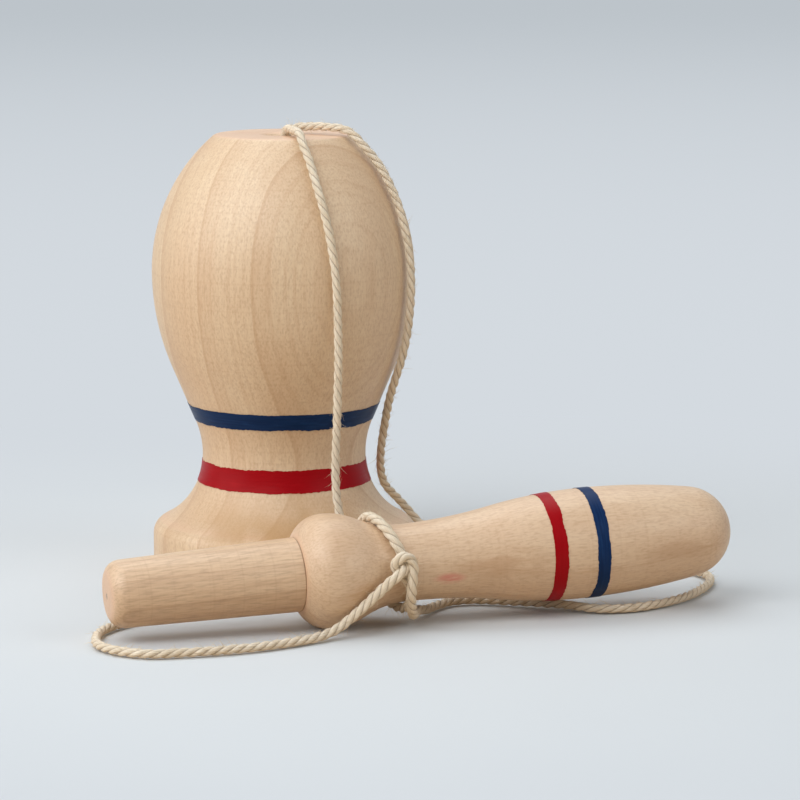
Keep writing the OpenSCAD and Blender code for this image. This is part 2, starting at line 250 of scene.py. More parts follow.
def turned_wood(name, place, pith, ring_gap, ring_shift, ring_depth, speck_len, colours, seed):
    """Wood whose grain runs along a turned piece's own axis. Place puts that axis in the frame."""
    material, tree, shader = new_material(name)
    seat, along = piece_axes(tree, place)

    # Growth rings round the pith, which wander a little along the tree
    wander = streaks(tree, along, size=(26 * mm, 26 * mm, 120 * mm), detail=2,
                     contrast=(0.2, 0.8), seed=seed)
    beside = add(tree, "ShaderNodeVectorMath", {0: along, 1: (*pith, 0)}, operation="SUBTRACT")
    flat = add(tree, "ShaderNodeVectorMath", {0: beside.outputs[0], 1: (1, 1, 0)},
               operation="MULTIPLY")
    reach = add(tree, "ShaderNodeVectorMath", {0: flat.outputs[0]}, operation="LENGTH")
    bent = add(tree, "ShaderNodeMath", {0: wander, 1: ring_wander, 2: reach.outputs["Value"]},
               operation="MULTIPLY_ADD")
    years = add(tree, "ShaderNodeMath", {0: bent.outputs[0], 1: 1 / ring_gap, 2: ring_shift},
                operation="MULTIPLY_ADD")
    season = add(tree, "ShaderNodeMath", {0: years.outputs[0]}, operation="FRACT")
    ring = add(tree, "ShaderNodeValToRGB", {"Fac": season.outputs[0]})
    stops = ring.color_ramp.elements
    for stop in stops:
        stop.color = (ring_start_shade, ring_start_shade, ring_start_shade, 1)
    for at, shade in ring_shades:
        stops.new(at).color = (shade, shade, shade, 1)
    lines = add(tree, "ShaderNodeTexNoise",
                {"W": bent.outputs[0], "Scale": 1 / growth_line_gap, "Detail": 1},
                noise_dimensions="1D")
    growth = add(tree, "ShaderNodeMapRange",
                 {"Value": lines.outputs["Fac"], "From Min": 0.42, "From Max": 0.72},
                 interpolation_type="SMOOTHSTEP")

    # Fibres, figure and specks along the piece, and broad patches of tone
    fibres = streaks(tree, along, size=(0.35 * mm, 0.35 * mm, 9 * mm), detail=3,
                     contrast=(0.3, 0.72), seed=seed + 1)
    figure = streaks(tree, along, size=(2.2 * mm, 2.2 * mm, 60 * mm), detail=2,
                     contrast=(0.3, 0.7), seed=seed + 2)
    patches = streaks(tree, along, size=(17 * mm, 17 * mm, 45 * mm), detail=2,
                      contrast=(0.3, 0.7), seed=seed + 3)
    specks = streaks(tree, along, size=(0.4 * mm, 0.4 * mm, speck_len), detail=2,
                     contrast=(0.42, 0.72), seed=seed + 4)

    # Fine tool marks run round the piece
    height = add(tree, "ShaderNodeSeparateXYZ", {0: along})
    marks = add(tree, "ShaderNodeTexNoise",
                {"W": height.outputs["Z"], "Scale": 1 / tool_mark_gap, "Detail": 2},
                noise_dimensions="1D")
    turning = add(tree, "ShaderNodeMapRange",
                  {"Value": marks.outputs["Fac"], "From Min": 0.5, "From Max": 0.8},
                  interpolation_type="SMOOTHSTEP")

    # The cut across the grain is pinker
    axis = place.to_3x3() @ Vector((0, 0, 1))
    facing = add(tree, "ShaderNodeVectorMath", {0: seat.outputs["Normal"], 1: axis},
                 operation="DOT_PRODUCT")
    square = add(tree, "ShaderNodeMath", {0: facing.outputs["Value"]}, operation="ABSOLUTE")
    cut = add(tree, "ShaderNodeMapRange",
              {"Value": square.outputs[0], "From Min": 0.8, "From Max": 0.97},
              interpolation_type="SMOOTHSTEP")

    # Each is laid over the pale wood in turn, by its amount
    tone = linear(colours["pale"])
    for share, amount, colour in (
            (patches, 0.5, "warm"),
            (figure, 0.22, "warm"),
            (ring.outputs["Color"], ring_depth, "late"),
            (growth.outputs["Result"], ring_depth * growth_line_share, "late"),
            (fibres, 0.18, "late"),
            (specks, 0.3, "fleck"),
            (turning.outputs["Result"], 0.12, "late"),
            (cut.outputs["Result"], 0.55, "end")):
        tone = over(tree, tone, share, amount, colours[colour])
    tree.links.new(tone, shader.inputs["Base Color"])

    # The tool marks are felt too, and the darker fibres lie a little lower
    relief = add(tree, "ShaderNodeMath", {0: fibres, 1: -0.6, 2: marks.outputs["Fac"]},
                 operation="MULTIPLY_ADD")
    bump = add(tree, "ShaderNodeBump",
               {"Height": relief.outputs[0], "Strength": 0.3, "Distance": wood_relief})
    tree.links.new(bump.outputs["Normal"], shader.inputs["Normal"])
    gloss = add(tree, "ShaderNodeMapRange", {"Value": fibres, "To Min": 0.5, "To Max": 0.58})
    tree.links.new(gloss.outputs["Result"], shader.inputs["Roughness"])
    shader.inputs["Specular IOR Level"].default_value = 1
    shader.inputs["Coat Weight"].default_value = 0.6
    shader.inputs["Coat Roughness"].default_value = 0.55
    return material


blot_share = 0.4
blot_stretch = 6


def stain_and_painted_shade(material, middle, size, amount, colour, seed):
    """A soft, uneven spot on a piece of wood, with its half sizes along the grain's own axes. It lays
    real stains and marks, and also painted shade.
    """
    tree = material.node_tree
    shader = tree.nodes["Principled BSDF"]
    along = tree.nodes["grain"].outputs["Vector"]
    away = add(tree, "ShaderNodeVectorMath", {0: along, 1: middle}, operation="SUBTRACT")
    shares = add(tree, "ShaderNodeVectorMath", {0: away.outputs[0], 1: [1 / s for s in size]},
                 operation="MULTIPLY")
    reach = add(tree, "ShaderNodeVectorMath", {0: shares.outputs[0]}, operation="LENGTH")
    spot = add(tree, "ShaderNodeMapRange",
               {"Value": reach.outputs["Value"], "From Min": 1, "From Max": 0.25},
               interpolation_type="SMOOTHSTEP")
    blot = blot_share * min(size[:2])
    broken = streaks(tree, along, size=(blot, blot, blot_stretch * blot), detail=2,
                     contrast=(0.25, 0.6), seed=seed)
    share = add(tree, "ShaderNodeMath", {0: spot.outputs["Result"], 1: broken},
                operation="MULTIPLY")
    base = shader.inputs["Base Color"].links[0].from_socket
    stained = over(tree, base, share.outputs[0], amount, colour)
    tree.links.new(stained, shader.inputs["Base Color"])


def dress(piece, material, body, slot, *nodes):
    """Gives a piece its material and its body, and hides the solids that it stands for."""
    piece.data.materials.clear()
    piece.data.materials.append(material)
    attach(piece, body)
    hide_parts(*nodes)


head_wood = turned_wood(
    "pale turned hardwood, upright grain", Matrix.Identity(4), pith=(58 * mm, -81 * mm),
    ring_gap=13 * mm, ring_shift=0.57, ring_depth=0.45, speck_len=0.9 * mm, seed=3.1,
    colours={"pale": "#e7d0ae", "warm": "#d8b58d", "late": "#b98a5a", "fleck": "#a87b50",
             "end": "#e6ba98"})
# Painted shade on the front of the foot, under the belly's overhang that keeps the light from above off
# it
stain_and_painted_shade(head_wood, middle=(0, -22 * mm, 12 * mm), size=(34 * mm, 22 * mm, 13 * mm), amount=0.6,
      colour="#b98c50", seed=4.7)
head = turn("bell_head", head_outside + head_inside, closed=True)
dress(head, head_wood, "head", "turned_wood", "head_body")


# Painted bands on the head
# A red and a blue ring of thin lacquer, brushed on by hand while the head turned on the lathe.
# Their edges are a little ragged, and the paint is thinner in streaks round the piece.
band_rows = 8
band_segments = 540
film = 0.1 * mm
film_foot = 0.02 * mm
# The part of the width at each edge that wanders, and its slow and quick waves in a millimetre
ragged_share = 0.25
slow_waves = 0.22
quick_waves = 1.6
quick_share = 0.7


def painted_band(name, outline, start, width, ragged, seed):
    """A thin closed film over an outline between two stations, with edges that wander."""
    stations = [start + width * i / band_rows for i in range(band_rows + 1)]
    outer = [(radius_at(outline, z) + film, z) for z in stations]
    inner = [(radius_at(outline, z) + film_foot, z) for z in reversed(stations)]
    piece = turn(name, outer + inner, closed=True, segments=band_segments)
    for point in piece.data.vertices:
        r = hypot(point.co.x, point.co.y)
        z = point.co.z
        share = (z - start) / width
        edge = max(0, 1 - min(share, 1 - share) / ragged_share)
        side = 1 if share > 0.5 else -1
        # The two edges read the noise at other heights, so that they don't run alike
        around = Vector((point.co.x, point.co.y, 0)) / mm
        slow = noise.noise(around * slow_waves + Vector((0, 0, seed + 5 * side)))
        quick = noise.noise(around * quick_waves + Vector((0, 0, seed + 9 * side)))
        moved = z + edge * ragged[side > 0] * (slow + quick_share * quick)
        grown = (radius_at(outline, moved) + r - radius_at(outline, z)) / r
        point.co = (point.co.x * grown, point.co.y * grown, moved)
    return piece


# Thin lacquer on wood: satin, deep in colour, brushed in fine streaks round the piece, which the
# light catches as faint lines.
def brushed_paint(name, place, colour, thin_colour, seed):
    """Satin lacquer with brush streaks round a turned piece."""
    material, tree, shader = new_material(name)
    along = piece_axes(tree, place)[1]
    brush = streaks(tree, along, size=(8 * mm, 8 * mm, 0.3 * mm), detail=2,
                    contrast=(0.3, 0.75), seed=seed)
    thin = streaks(tree, along, size=(5 * mm, 5 * mm, 1.2 * mm), detail=3,
                   contrast=(0.52, 0.8), seed=seed + 1)
    tone = over(tree, linear(colour), brush, 0.25, thin_colour)
    tone = over(tree, tone, thin, 0.45, thin_colour)
    tree.links.new(tone, shader.inputs["Base Color"])
    gloss = add(tree, "ShaderNodeMapRange", {"Value": brush, "To Min": 0.32, "To Max": 0.42})
    tree.links.new(gloss.outputs["Result"], shader.inputs["Roughness"])
    bump = add(tree, "ShaderNodeBump", {"Height": brush, "Strength": 0.3, "Distance": 0.03 * mm})
    tree.links.new(bump.outputs["Normal"], shader.inputs["Normal"])
    shader.inputs["Specular IOR Level"].default_value = 0.1
    return material


red_colours = {"colour": "#9c0410", "thin_colour": "#b0101a"}
blue_colours = {"colour": "#0b2750", "thin_colour": "#204478"}
head_red = painted_band("head_red_paint", head_outside, start=20.45 * mm, width=4.9 * mm,
                        ragged=(0.22 * mm, 0.32 * mm), seed=2.3)
dress(head_red, brushed_paint("red band paint", Matrix.Identity(4), seed=1.7, **red_colours),
      "head", "red_paint", "head_red_band")
head_blue = painted_band("head_blue_paint", head_outside, start=34.8 * mm, width=3.8 * mm,
                         ragged=(0.26 * mm, 0.16 * mm), seed=6.1)
dress(head_blue, brushed_paint("blue band paint", Matrix.Identity(4), seed=4.2, **blue_colours),
      "head", "blue_paint", "head_blue_band")


# Grip
# One turned piece of the same wood, with the grain along it: a bulb that the peg sits in, a waist
# for the cord, and a swelling handle with a round end. It lies on its bulb, with the handle over
# the cord.
bulb_r = 12.3 * mm
bulb_front = 6.4 * mm
bulb_back_round = 16 * mm
waist_r = 8.3 * mm
waist_u = 17 * mm
grip_r = 11.95 * mm
grip_u = 58 * mm
end_u = 92 * mm
end_round = 9.9 * mm
peg_root_r = 7.95 * mm
seat_lip = 0.25 * mm
tenon_r = 5 * mm
tenon_len = 16 * mm
glue_gap = 0.1 * mm
stick_tilt = 2.7
stick_heading = 17.3
stick_at = Vector((10.9 * mm, -66.5 * mm, bulb_r / cos(radians(stick_tilt))))
stick_turn = Euler((0, radians(90 - stick_tilt), radians(stick_heading)))
stick_place = Matrix.LocRotScale(stick_at, stick_turn, None)

seat_r = peg_root_r + seat_lip
front_round = (bulb_front ** 2 + (bulb_r - seat_r) ** 2) / (2 * (bulb_r - seat_r))
waist_round = touching_sum(bulb_r, 0, waist_r, waist_u) - bulb_back_round
swell_round = touching_sum(grip_r, grip_u, waist_r, waist_u) / 2
ball_u = end_u - end_round
fall_round = ((ball_u - grip_u) ** 2 + grip_r ** 2 - end_round ** 2) / (2 * (grip_r - end_round))
front_c = (bulb_r - front_round, 0)
back_c = (bulb_r - bulb_back_round, 0)
waist_c = (waist_r + waist_round, waist_u)
rise_c = (waist_r + swell_round, waist_u)
swell_c = (grip_r - swell_round, grip_u)
fall_c = (grip_r - fall_round, grip_u)
ball_c = (0, ball_u)

grip_outside = (
    arc(front_c, front_round, -degrees(asin(bulb_front / front_round)), 0)
    + arc(back_c, bulb_back_round, 0, bearing(back_c, waist_c))
    + arc(waist_c, waist_round, bearing(back_c, waist_c) + 180, 180)
    + arc(rise_c, swell_round, 180, bearing(rise_c, swell_c))
    + arc(swell_c, swell_round, bearing(rise_c, swell_c) - 180, 0)
    + arc(fall_c, fall_round, 0, bearing(fall_c, ball_c))
    + arc(ball_c, end_round, bearing(fall_c, ball_c), 90))
hole_end = tenon_len + glue_gap - bulb_front
tenon_hole = [(0, hole_end), (tenon_r + glue_gap, hole_end), (tenon_r + glue_gap, -bulb_front)]


def lay(piece):
    """Lays a turned piece of the stick in its place, with the place kept in its mesh."""
    bpy.ops.object.select_all(action="DESELECT")
    piece.select_set(True)
    bpy.context.view_layer.objects.active = piece
    piece.matrix_world = stick_place
    bpy.ops.object.transform_apply(location=True, rotation=True, scale=False)
    return piece


grip_wood = turned_wood(
    "pale turned hardwood, grain along the grip", stick_place, pith=(30 * mm, 34 * mm),
    ring_gap=7 * mm, ring_shift=0.3, ring_depth=0.3, speck_len=1.6 * mm, seed=7.4,
    colours={"pale": "#e4caaa", "warm": "#d4b08b", "late": "#b98c5e", "fleck": "#a87b50",
             "end": "#e2bc9c"})
# A smudge of red paint beside the waist. Darker patches on the front, before the bands, at the end and
# on the bulb, are brown figure and also painted shade that darkens the middle and lower front
stain_and_painted_shade(grip_wood, middle=(2.7 * mm, -8.4 * mm, 25 * mm), size=(1.7 * mm, 3 * mm, 4.6 * mm),
      amount=0.8, colour="#d0705f", seed=3.6)
stain_and_painted_shade(grip_wood, middle=(1 * mm, -10 * mm, 37 * mm), size=(5 * mm, 7 * mm, 15 * mm),
      amount=0.5, colour="#b4875a", seed=8.3)
stain_and_painted_shade(grip_wood, middle=(1.5 * mm, -10 * mm, 77 * mm), size=(3 * mm, 7 * mm, 15 * mm),
      amount=0.5, colour="#b4875a", seed=1.9)
stain_and_painted_shade(grip_wood, middle=(4 * mm, -11 * mm, 5 * mm), size=(6 * mm, 8 * mm, 7 * mm),
      amount=0.5, colour="#b98a55", seed=5.6)
grip = lay(turn("grip", tenon_hole + grip_outside))
dress(grip, grip_wood, "handle", "turned_wood", "handle_grip")


# Peg
# A length of dowel, slimmed a little to its rounded tip. Its shoulder sits on the bulb, and a
# tenon behind it is glued into the bulb.
peg_len = 41.2 * mm
peg_tip_r = 7.2 * mm
peg_tip_round = 3.2 * mm
peg_tip_u = -bulb_front - peg_len
taper_from = peg_tip_u + peg_tip_round
taper_len = peg_len - peg_tip_round
taper_steps = 20
shoulder_edge = 0.15 * mm
peg_outline = (
    [(0, peg_tip_u)]
    + arc((peg_tip_r - peg_tip_round, taper_from), peg_tip_round, -90, 0)
    + [(peg_tip_r + (peg_root_r - peg_tip_r) * i / taper_steps,
        taper_from + taper_len * i / taper_steps) for i in range(1, taper_steps)]
    + [(peg_root_r, -bulb_front - shoulder_edge), (peg_root_r - shoulder_edge, -bulb_front),
       (tenon_r, -bulb_front), (tenon_r, tenon_len - bulb_front), (0, tenon_len - bulb_front)])
peg_wood = turned_wood(
    "dowel wood, grain along the peg", stick_place, pith=(14 * mm, -22 * mm),
    ring_gap=5 * mm, ring_shift=0, ring_depth=0.4, speck_len=3 * mm, seed=11.3,
    colours={"pale": "#ead0ae", "warm": "#d5af87", "late": "#aa7e56", "fleck": "#8c6542",
             "end": "#e4bea2"})
# A dark glue line at the shoulder, and the mark of the lathe's centre in the end
stain_and_painted_shade(peg_wood, middle=(0, 0, -bulb_front), size=(40 * mm, 40 * mm, 0.4 * mm),
      amount=0.8, colour="#6e4a2c", seed=5.1)
stain_and_painted_shade(peg_wood, middle=(0.2 * mm, 0, peg_tip_u), size=(0.9 * mm, 0.9 * mm, 0.6 * mm),
      amount=0.9, colour="#5a4232", seed=6.3)
peg = lay(turn("peg", peg_outline))
dress(peg, peg_wood, "handle", "peg_wood", "handle_peg")


# Painted bands on the grip
# A red and a blue ring of the same thin lacquer as on the head, but narrower. They are brushed on
# by hand while the grip turns on the lathe.
grip_red = lay(painted_band("grip_red_paint", grip_outside, start=47.8 * mm, width=2.9 * mm,
                            ragged=(0.16 * mm, 0.24 * mm), seed=8.8))
dress(grip_red, brushed_paint("red grip paint", stick_place, seed=6.6, **red_colours),
      "handle", "red_paint", "handle_red_band")
grip_blue = lay(painted_band("grip_blue_paint", grip_outside, start=57.5 * mm, width=2.8 * mm,
                             ragged=(0.2 * mm, 0.2 * mm), seed=4.4))
dress(grip_blue, brushed_paint("blue grip paint", stick_place, seed=9.5, **blue_colours),
      "handle", "blue_paint", "handle_blue_band")


# Cord
# One length of twisted cotton, three strands laid together, doubled over. Its two halves come up
# through the head's hole, hang down the bell and run over the surface, and its middle is tied
# round the stick's waist.
cord_d = 2.3 * mm
cord_ease = 0.15 * mm
strands = 3
strand_pitch = 7.6 * mm
strand_offset = 0.4
strand_radius = 0.6
groove_reach = 0.69
lay_wander = 0.5
lay_wander_len = 18 * mm
slub_size = 0.05
slub_len = 9 * mm
yarn_rough = 0.06
yarn_rough_len = 1.1 * mm
cord_sides = 24
ring_step = 0.5 * mm
fine_per_step = 4


def on_stick(along, behind, above):
    """A point beside the stick, in millimetres along it, behind it and above it."""
    return stick_place @ Vector((-above * mm, behind * mm, along * mm))


def metres(points):
    """Route points in millimetres as points in the frame."""
    return [Vector(p) * mm for p in points]


front_drape = metres([
    (0, -1.5, 57.7), (0, -1.5, 68), (0, -1.5, 78), (0, -1.5, 88), (0.2, -1.5, 95.5), (0.5, -1.8, 98.6),
    (0.8, -2.7, 100.4), (1.2, -4.3, 101.4), (1.9, -6.8, 101.6), (2.9, -10.4, 101.5), (3.7, -13.6, 101.5),
    (4.3, -15.7, 101.2), (5, -18, 99.3), (6.6, -21, 95.6), (8.3, -24.3, 90.4), (9.9, -26.4, 85.1),
    (11.2, -27.9, 79.6), (12.2, -28.8, 73.6), (12.8, -29.1, 67), (13, -29.1, 60), (13.1, -29.1, 52.5),
    (12.9, -29.1, 45), (12.7, -29.2, 37.5), (12.4, -29.3, 30), (12.5, -29.5, 23), (13.3, -30, 17),
    (13.6, -31, 12), (13.4, -32.3, 8.2)])
left_run = metres([
    (11.6, -34.8, 3.6), (8, -38, 1.5), (2, -41.8, 1.2), (-5, -46, 1.2), (-12.5, -50.6, 1.2),
    (-20, -55.6, 1.2), (-27, -61.2, 1.2), (-32.6, -67.8, 1.2), (-35.8, -74, 1.2), (-36.8, -81, 1.2),
    (-35.6, -88.2, 1.2), (-31.2, -93.4, 1.2), (-24.6, -96.2, 1.2), (-17.2, -95, 1.2), (-10, -93, 1.2),
    (-3, -90, 1.2), (3.8, -85.8, 1.2), (9.4, -81.4, 1.3), (13.6, -78, 2.4), (17.2, -76.6, 5),
    (20.6, -75.8, 8)]) + [on_stick(10, -11.6, -1.8)]
right_drape = metres([
    (0, 1.5, 57.7), (0, 1.5, 68), (0, 1.5, 78), (0, 1.5, 88), (0.1, 1.5, 95.5), (0.5, 1.4, 98.4),
    (1.4, 1.2, 100.2), (3.2, 0.7, 101.4), (5.8, -0.7, 101.7), (8.4, -2.4, 101.9), (11, -4.2, 101.8),
    (13.7, -5.9, 101.6), (15.9, -7, 100.6), (18.6, -7.9, 97.8), (21.5, -8.4, 94.4), (24.1, -9.8, 90),
    (26.3, -10.9, 84.9), (27.8, -11.8, 79.6), (28.8, -12.3, 74), (29.2, -12.3, 68), (29, -11.9, 61.8),
    (28.4, -10.8, 56), (27.2, -9.3, 50), (25.6, -7.4, 44.6), (24.2, -4.4, 39.2), (23.2, -1.4, 33.4),
    (22.4, 1.4, 27.8), (22.2, 4.5, 22.4), (23.1, 7.7, 17.9), (25.4, 10.8, 14.6), (28.1, 13.4, 11.2),
    (30.8, 14.7, 7.8), (34, 15.2, 5.2)])
right_run = metres([
    (39.2, 15, 2.2), (46, 13.4, 1.2), (54, 10.6, 1.2), (62, 7.4, 1.2), (70, 3.8, 1.2), (78, -0.6, 1.2),
    (85.6, -5.2, 1.2), (92.2, -10.4, 1.2), (96.2, -16.6, 1.2), (96.4, -24, 1.2), (94, -32, 1.2),
    (89.8, -40.2, 1.2), (84, -47, 1.2), (77.2, -51.8, 1.2), (70, -53.2, 1.3), (63.2, -50.4, 1.5),
    (56.6, -47.1, 1.3), (50, -45, 1.2), (43.6, -43.8, 1.2), (38.4, -45, 1.2), (35, -49, 1.2)])
right_tie = [on_stick(*p) for p in (
    (23.4, 4.6, -11.9), (20, 0.6, -10.9), (17.8, -4, -10.6), (16.3, -8, -8.2), (15.5, -10.6, -5.4),
    (15.4, -12, -2.4), (15.7, -12.3, 0.2), (15.7, -12.3, 2.2), (15, -12.4, 3.6), (13.8, -12.4, 4.1),
    (12.8, -12, 3.5), (12.3, -11.1, 2.5), (12.6, -10.4, 1.3), (13.5, -10.2, 0.1), (14.4, -10, -1))]

# The noose goes once round the waist, from the knot over the top and down the back
noose_u = 13.4 * mm
noose_lean = 3.1 * mm
noose_from = 160
noose_to = -150
noose_steps = 21
noose_phase = 130
noose_turn = []
for i in range(noose_steps + 1):
    a = noose_from + (noose_to - noose_from) * i / noose_steps
    u = noose_u + noose_lean * cos(radians(a + noose_phase))
    r = radius_at(grip_outside, u) + cord_d / 2 + cord_ease
    noose_turn.append(on_stick(u / mm, r * cos(radians(a)) / mm, r * sin(radians(a)) / mm))
noose = ([on_stick(12.3, -12.1, 0), on_stick(13.9, -11.8, 1.3)] + noose_turn
         + [on_stick(15.8, -9.6, -2.9)])
cord_route = (front_drape + left_run + noose + list(reversed(right_tie))
              + list(reversed(right_run)) + list(reversed(right_drape)))
tie_point = on_stick(13.5, -11, 1)


def even_route(points, step):
    """Points a step apart on one smooth curve through a route's points."""
    ways = [(b - a).normalized() for a, b in zip(points[:1] + points[:-1], points[1:] + points[-1:])]
    fine = [points[0]]
    for p, q, way_p, way_q in zip(points, points[1:], ways, ways[1:]):
        third = (q - p).length / 3
        count = max(fine_per_step, ceil(3 * fine_per_step * third / step))
        fine += geometry.interpolate_bezier(p, p + way_p * third, q - way_q * third, q, count)[1:]
    even = [fine[0]]
    left = step
    for p, q in zip(fine, fine[1:]):
        span = (q - p).length
        while left <= span:
            even.append(p.lerp(q, left / span))
            left += step
        left -= span
    return even


def rings_along(path):
    """Way and side of each ring on a path, carried along without twist."""
    ways = [(b - a).normalized() for a, b in zip(path[:1] + path[:-1], path[1:] + path[-1:])]
    side = ways[0].orthogonal().normalized()
    sides = []
    for way in ways:
        side = (side - way * side.dot(way)).normalized()
        sides.append(side)
    return ways, sides


def spoke(way, side, angle):
    """Direction out of a path at an angle round it."""
    return side * cos(angle) + way.cross(side) * sin(angle)


def tube_faces(first, rings, sides):
    """Faces of a closed tube, made of rings of points that follow a first point."""
    faces = []
    for i in range(rings - 1):
        for k in range(sides):
            a = first + i * sides + k
            b = first + i * sides + (k + 1) % sides
            faces.append((a, b, b + sides, a + sides))
    last = first + (rings - 1) * sides
    faces.append(tuple(reversed(range(first, first + sides))))
    faces.append(tuple(range(last, last + sides)))
    return faces


def yarn_piece(name, points, faces):
    """A smooth piece of yarn from its points and faces."""
    mesh = bpy.data.meshes.new(name)
    mesh.from_pydata(points, [], faces)
    mesh.shade_smooth()
    piece = bpy.data.objects.new(name, mesh)
    scene.collection.objects.link(piece)
    return piece


def laid_cord(name, path, radius_of):
    """A three-strand cord: a ring has a round lobe for each strand, and turns as they are laid."""
    ways, sides = rings_along(path)
    points, crowns = [], []
    length = 0
    for i, (at, way, side) in enumerate(zip(path, ways, sides)):
        length += (at - path[max(i - 1, 0)]).length
        wander = lay_wander * noise.noise(Vector((length / lay_wander_len, 0, 3)))
        lay_angle = -2 * pi * length / strand_pitch + wander
        r = radius_of(at) * (1 + slub_size * noise.noise(Vector((length / slub_len, 5, 0))))
        for k in range(cord_sides):
            in_strand = (k * strands / cord_sides) % 1 * 2 * pi / strands - pi / strands
            reach = (strand_offset * cos(in_strand)
                     + sqrt(strand_radius ** 2 - (strand_offset * sin(in_strand)) ** 2))
            a = lay_angle + 2 * pi * k / cord_sides
            spot = Vector((length / yarn_rough_len, 3 * cos(a), 3 * sin(a)))
            rough = 1 + yarn_rough * noise.noise(spot)
            points.append(at + spoke(way, side, a) * r * reach * rough)
            crowns.append((reach - groove_reach) / (1 - groove_reach))
    piece = yarn_piece(name, points, tube_faces(0, len(path), cord_sides))
    mesh = piece.data
    mesh.attributes.new("crown", "FLOAT", "POINT").data.foreach_set("value", crowns)
    # In the last face of each ring the round ends at one, in place of zero
    sheet = mesh.uv_layers.new(name="lay")
    for face in mesh.polygons:
        for loop, corner in zip(face.loop_indices, face.vertices):
            k = corner % cord_sides
            if k == 0 and max(face.vertices) % cord_sides == cord_sides - 1:
                k = cord_sides if len(face.vertices) == 4 else 0
            sheet.data[loop].uv = (corner // cord_sides * ring_step, k / cord_sides)
    return piece


# Undyed cotton yarn, soft and dull, with no gloss: cream on the strands' crowns, with painted shade in
# the grooves between them, and fine fibres that run nearly along the cord.
def cotton_yarn(name, yarn, shade, groove_shade):
    """Twisted cotton, drawn on the cord's own length and round."""
    material, tree, shader = new_material(name)
    sheet = add(tree, "ShaderNodeUVMap", uv_map="lay")
    parts = add(tree, "ShaderNodeSeparateXYZ", {0: sheet.outputs["UV"]})
    turned = add(tree, "ShaderNodeMath",
                 {0: parts.outputs["X"], 1: -1 / strand_pitch, 2: parts.outputs["Y"]},
                 operation="MULTIPLY_ADD")
    round_it = add(tree, "ShaderNodeMath", {0: turned.outputs[0], 1: pi * cord_d},
                   operation="MULTIPLY")
    spread = add(tree, "ShaderNodeCombineXYZ",
                 {"X": parts.outputs["X"], "Y": round_it.outputs[0]})
    fibres = streaks(tree, spread.outputs[0], size=(3 * mm, 0.24 * mm, 1), detail=2,
                     contrast=(0.3, 0.7), seed=1.3)
    slubs = streaks(tree, spread.outputs[0], size=(14 * mm, 3 * mm, 1), detail=2,
                    contrast=(0.3, 0.7), seed=4.1)
    crown = add(tree, "ShaderNodeAttribute", attribute_name="crown")
    # Painted shade: the grooves between the strands are darkened brown, more where the surface lies
    # deeper
    deep = add(tree, "ShaderNodeMapRange",
               {"Value": crown.outputs["Fac"], "From Min": 0.45, "From Max": 0},
               interpolation_type="SMOOTHSTEP")
    tone = over(tree, linear(yarn), slubs, 0.25, shade)
    tone = over(tree, tone, fibres, 0.4, shade)
    tone = over(tree, tone, deep.outputs["Result"], 0.6, groove_shade)
    tree.links.new(tone, shader.inputs["Base Color"])
    bump = add(tree, "ShaderNodeBump", {"Height": fibres, "Strength": 0.8, "Distance": 0.15 * mm})
    tree.links.new(bump.outputs["Normal"], shader.inputs["Normal"])
    shader.inputs["Roughness"].default_value = 0.9
    shader.inputs["Specular IOR Level"].default_value = 0.2
    shader.inputs["Sheen Weight"].default_value = 0.25
    shader.inputs["Sheen Roughness"].default_value = 0.6
    return material


free_fullness = 0.85
tied_extra = 0.15
tie_reach = 22 * mm


def cord_radius(at):
    """The cord is fuller where it is tied and drawn thinner where it hangs and lies."""
    near = exp(-((at - tie_point).length / tie_reach) ** 2)
    return cord_d / 2 * (free_fullness + tied_extra * near)


cord_path = even_route(cord_route, ring_step)
cord = laid_cord("cord", cord_path, cord_radius)
cotton = cotton_yarn("undyed twisted cotton", "#faf0dd", "#dcc7a6", "#94795c")
cord.data.materials.append(cotton)
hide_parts("cord_front_drape", "cord_right_drape", "cord_left_run", "cord_right_run",
            "cord_noose")


# Loose fibres of the cord
# Cotton ends that stand out of the strands all along the cord. They are really 0.02 mm thick and
# are drawn 0.08 mm thick, so that they show.
fibre_count = 3600
fibre_r = 0.04 * mm
fibre_sides = 3
fibre_parts = 4
fibre_root = 0.8
fibre_lean = (0.5, 1.3)
fibre_rise = (0.35, 1)
fibre_curl = (0.2, 0.7)
fibre_taper = 0.75
short_share = 0.75
short_fibre_mm = (0.7, 1.5)
long_fibre_mm = (1.5, 3)


def loose_fibres(name, path, radius_of, count, seed):
    """Short hairs that leave a cord's strands and bend along it."""
    draw = random.Random(seed)
    ways, sides = rings_along(path)
    points, faces = [], []
    for _ in range(count):
        i = draw.randrange(len(path))
        out = spoke(ways[i], sides[i], draw.uniform(0, 2 * pi))
        start = path[i] + out * radius_of(path[i]) * fibre_root
        lean = ways[i] * draw.choice((-1, 1)) * draw.uniform(*fibre_lean)
        lean = (lean + out * draw.uniform(*fibre_rise)).normalized()
        curl = Vector(draw.uniform(-1, 1) for _ in range(3)) * draw.uniform(*fibre_curl)
        span = short_fibre_mm if draw.random() < short_share else long_fibre_mm
        length = draw.uniform(*span) * mm
        shares = [j / fibre_parts for j in range(fibre_parts + 1)]
        line = [start + (lean * t + curl * t * t) * length for t in shares]
        if min(p.z for p in line) < fibre_r:
            continue
        faces += tube_faces(len(points), len(line), fibre_sides)
        line_ways, line_sides = rings_along(line)
        for p, way, side, t in zip(line, line_ways, line_sides, shares):
            r = fibre_r * (1 - fibre_taper * t)
            for k in range(fibre_sides):
                points.append(p + spoke(way, side, 2 * pi * k / fibre_sides) * r)
    return yarn_piece(name, points, faces)


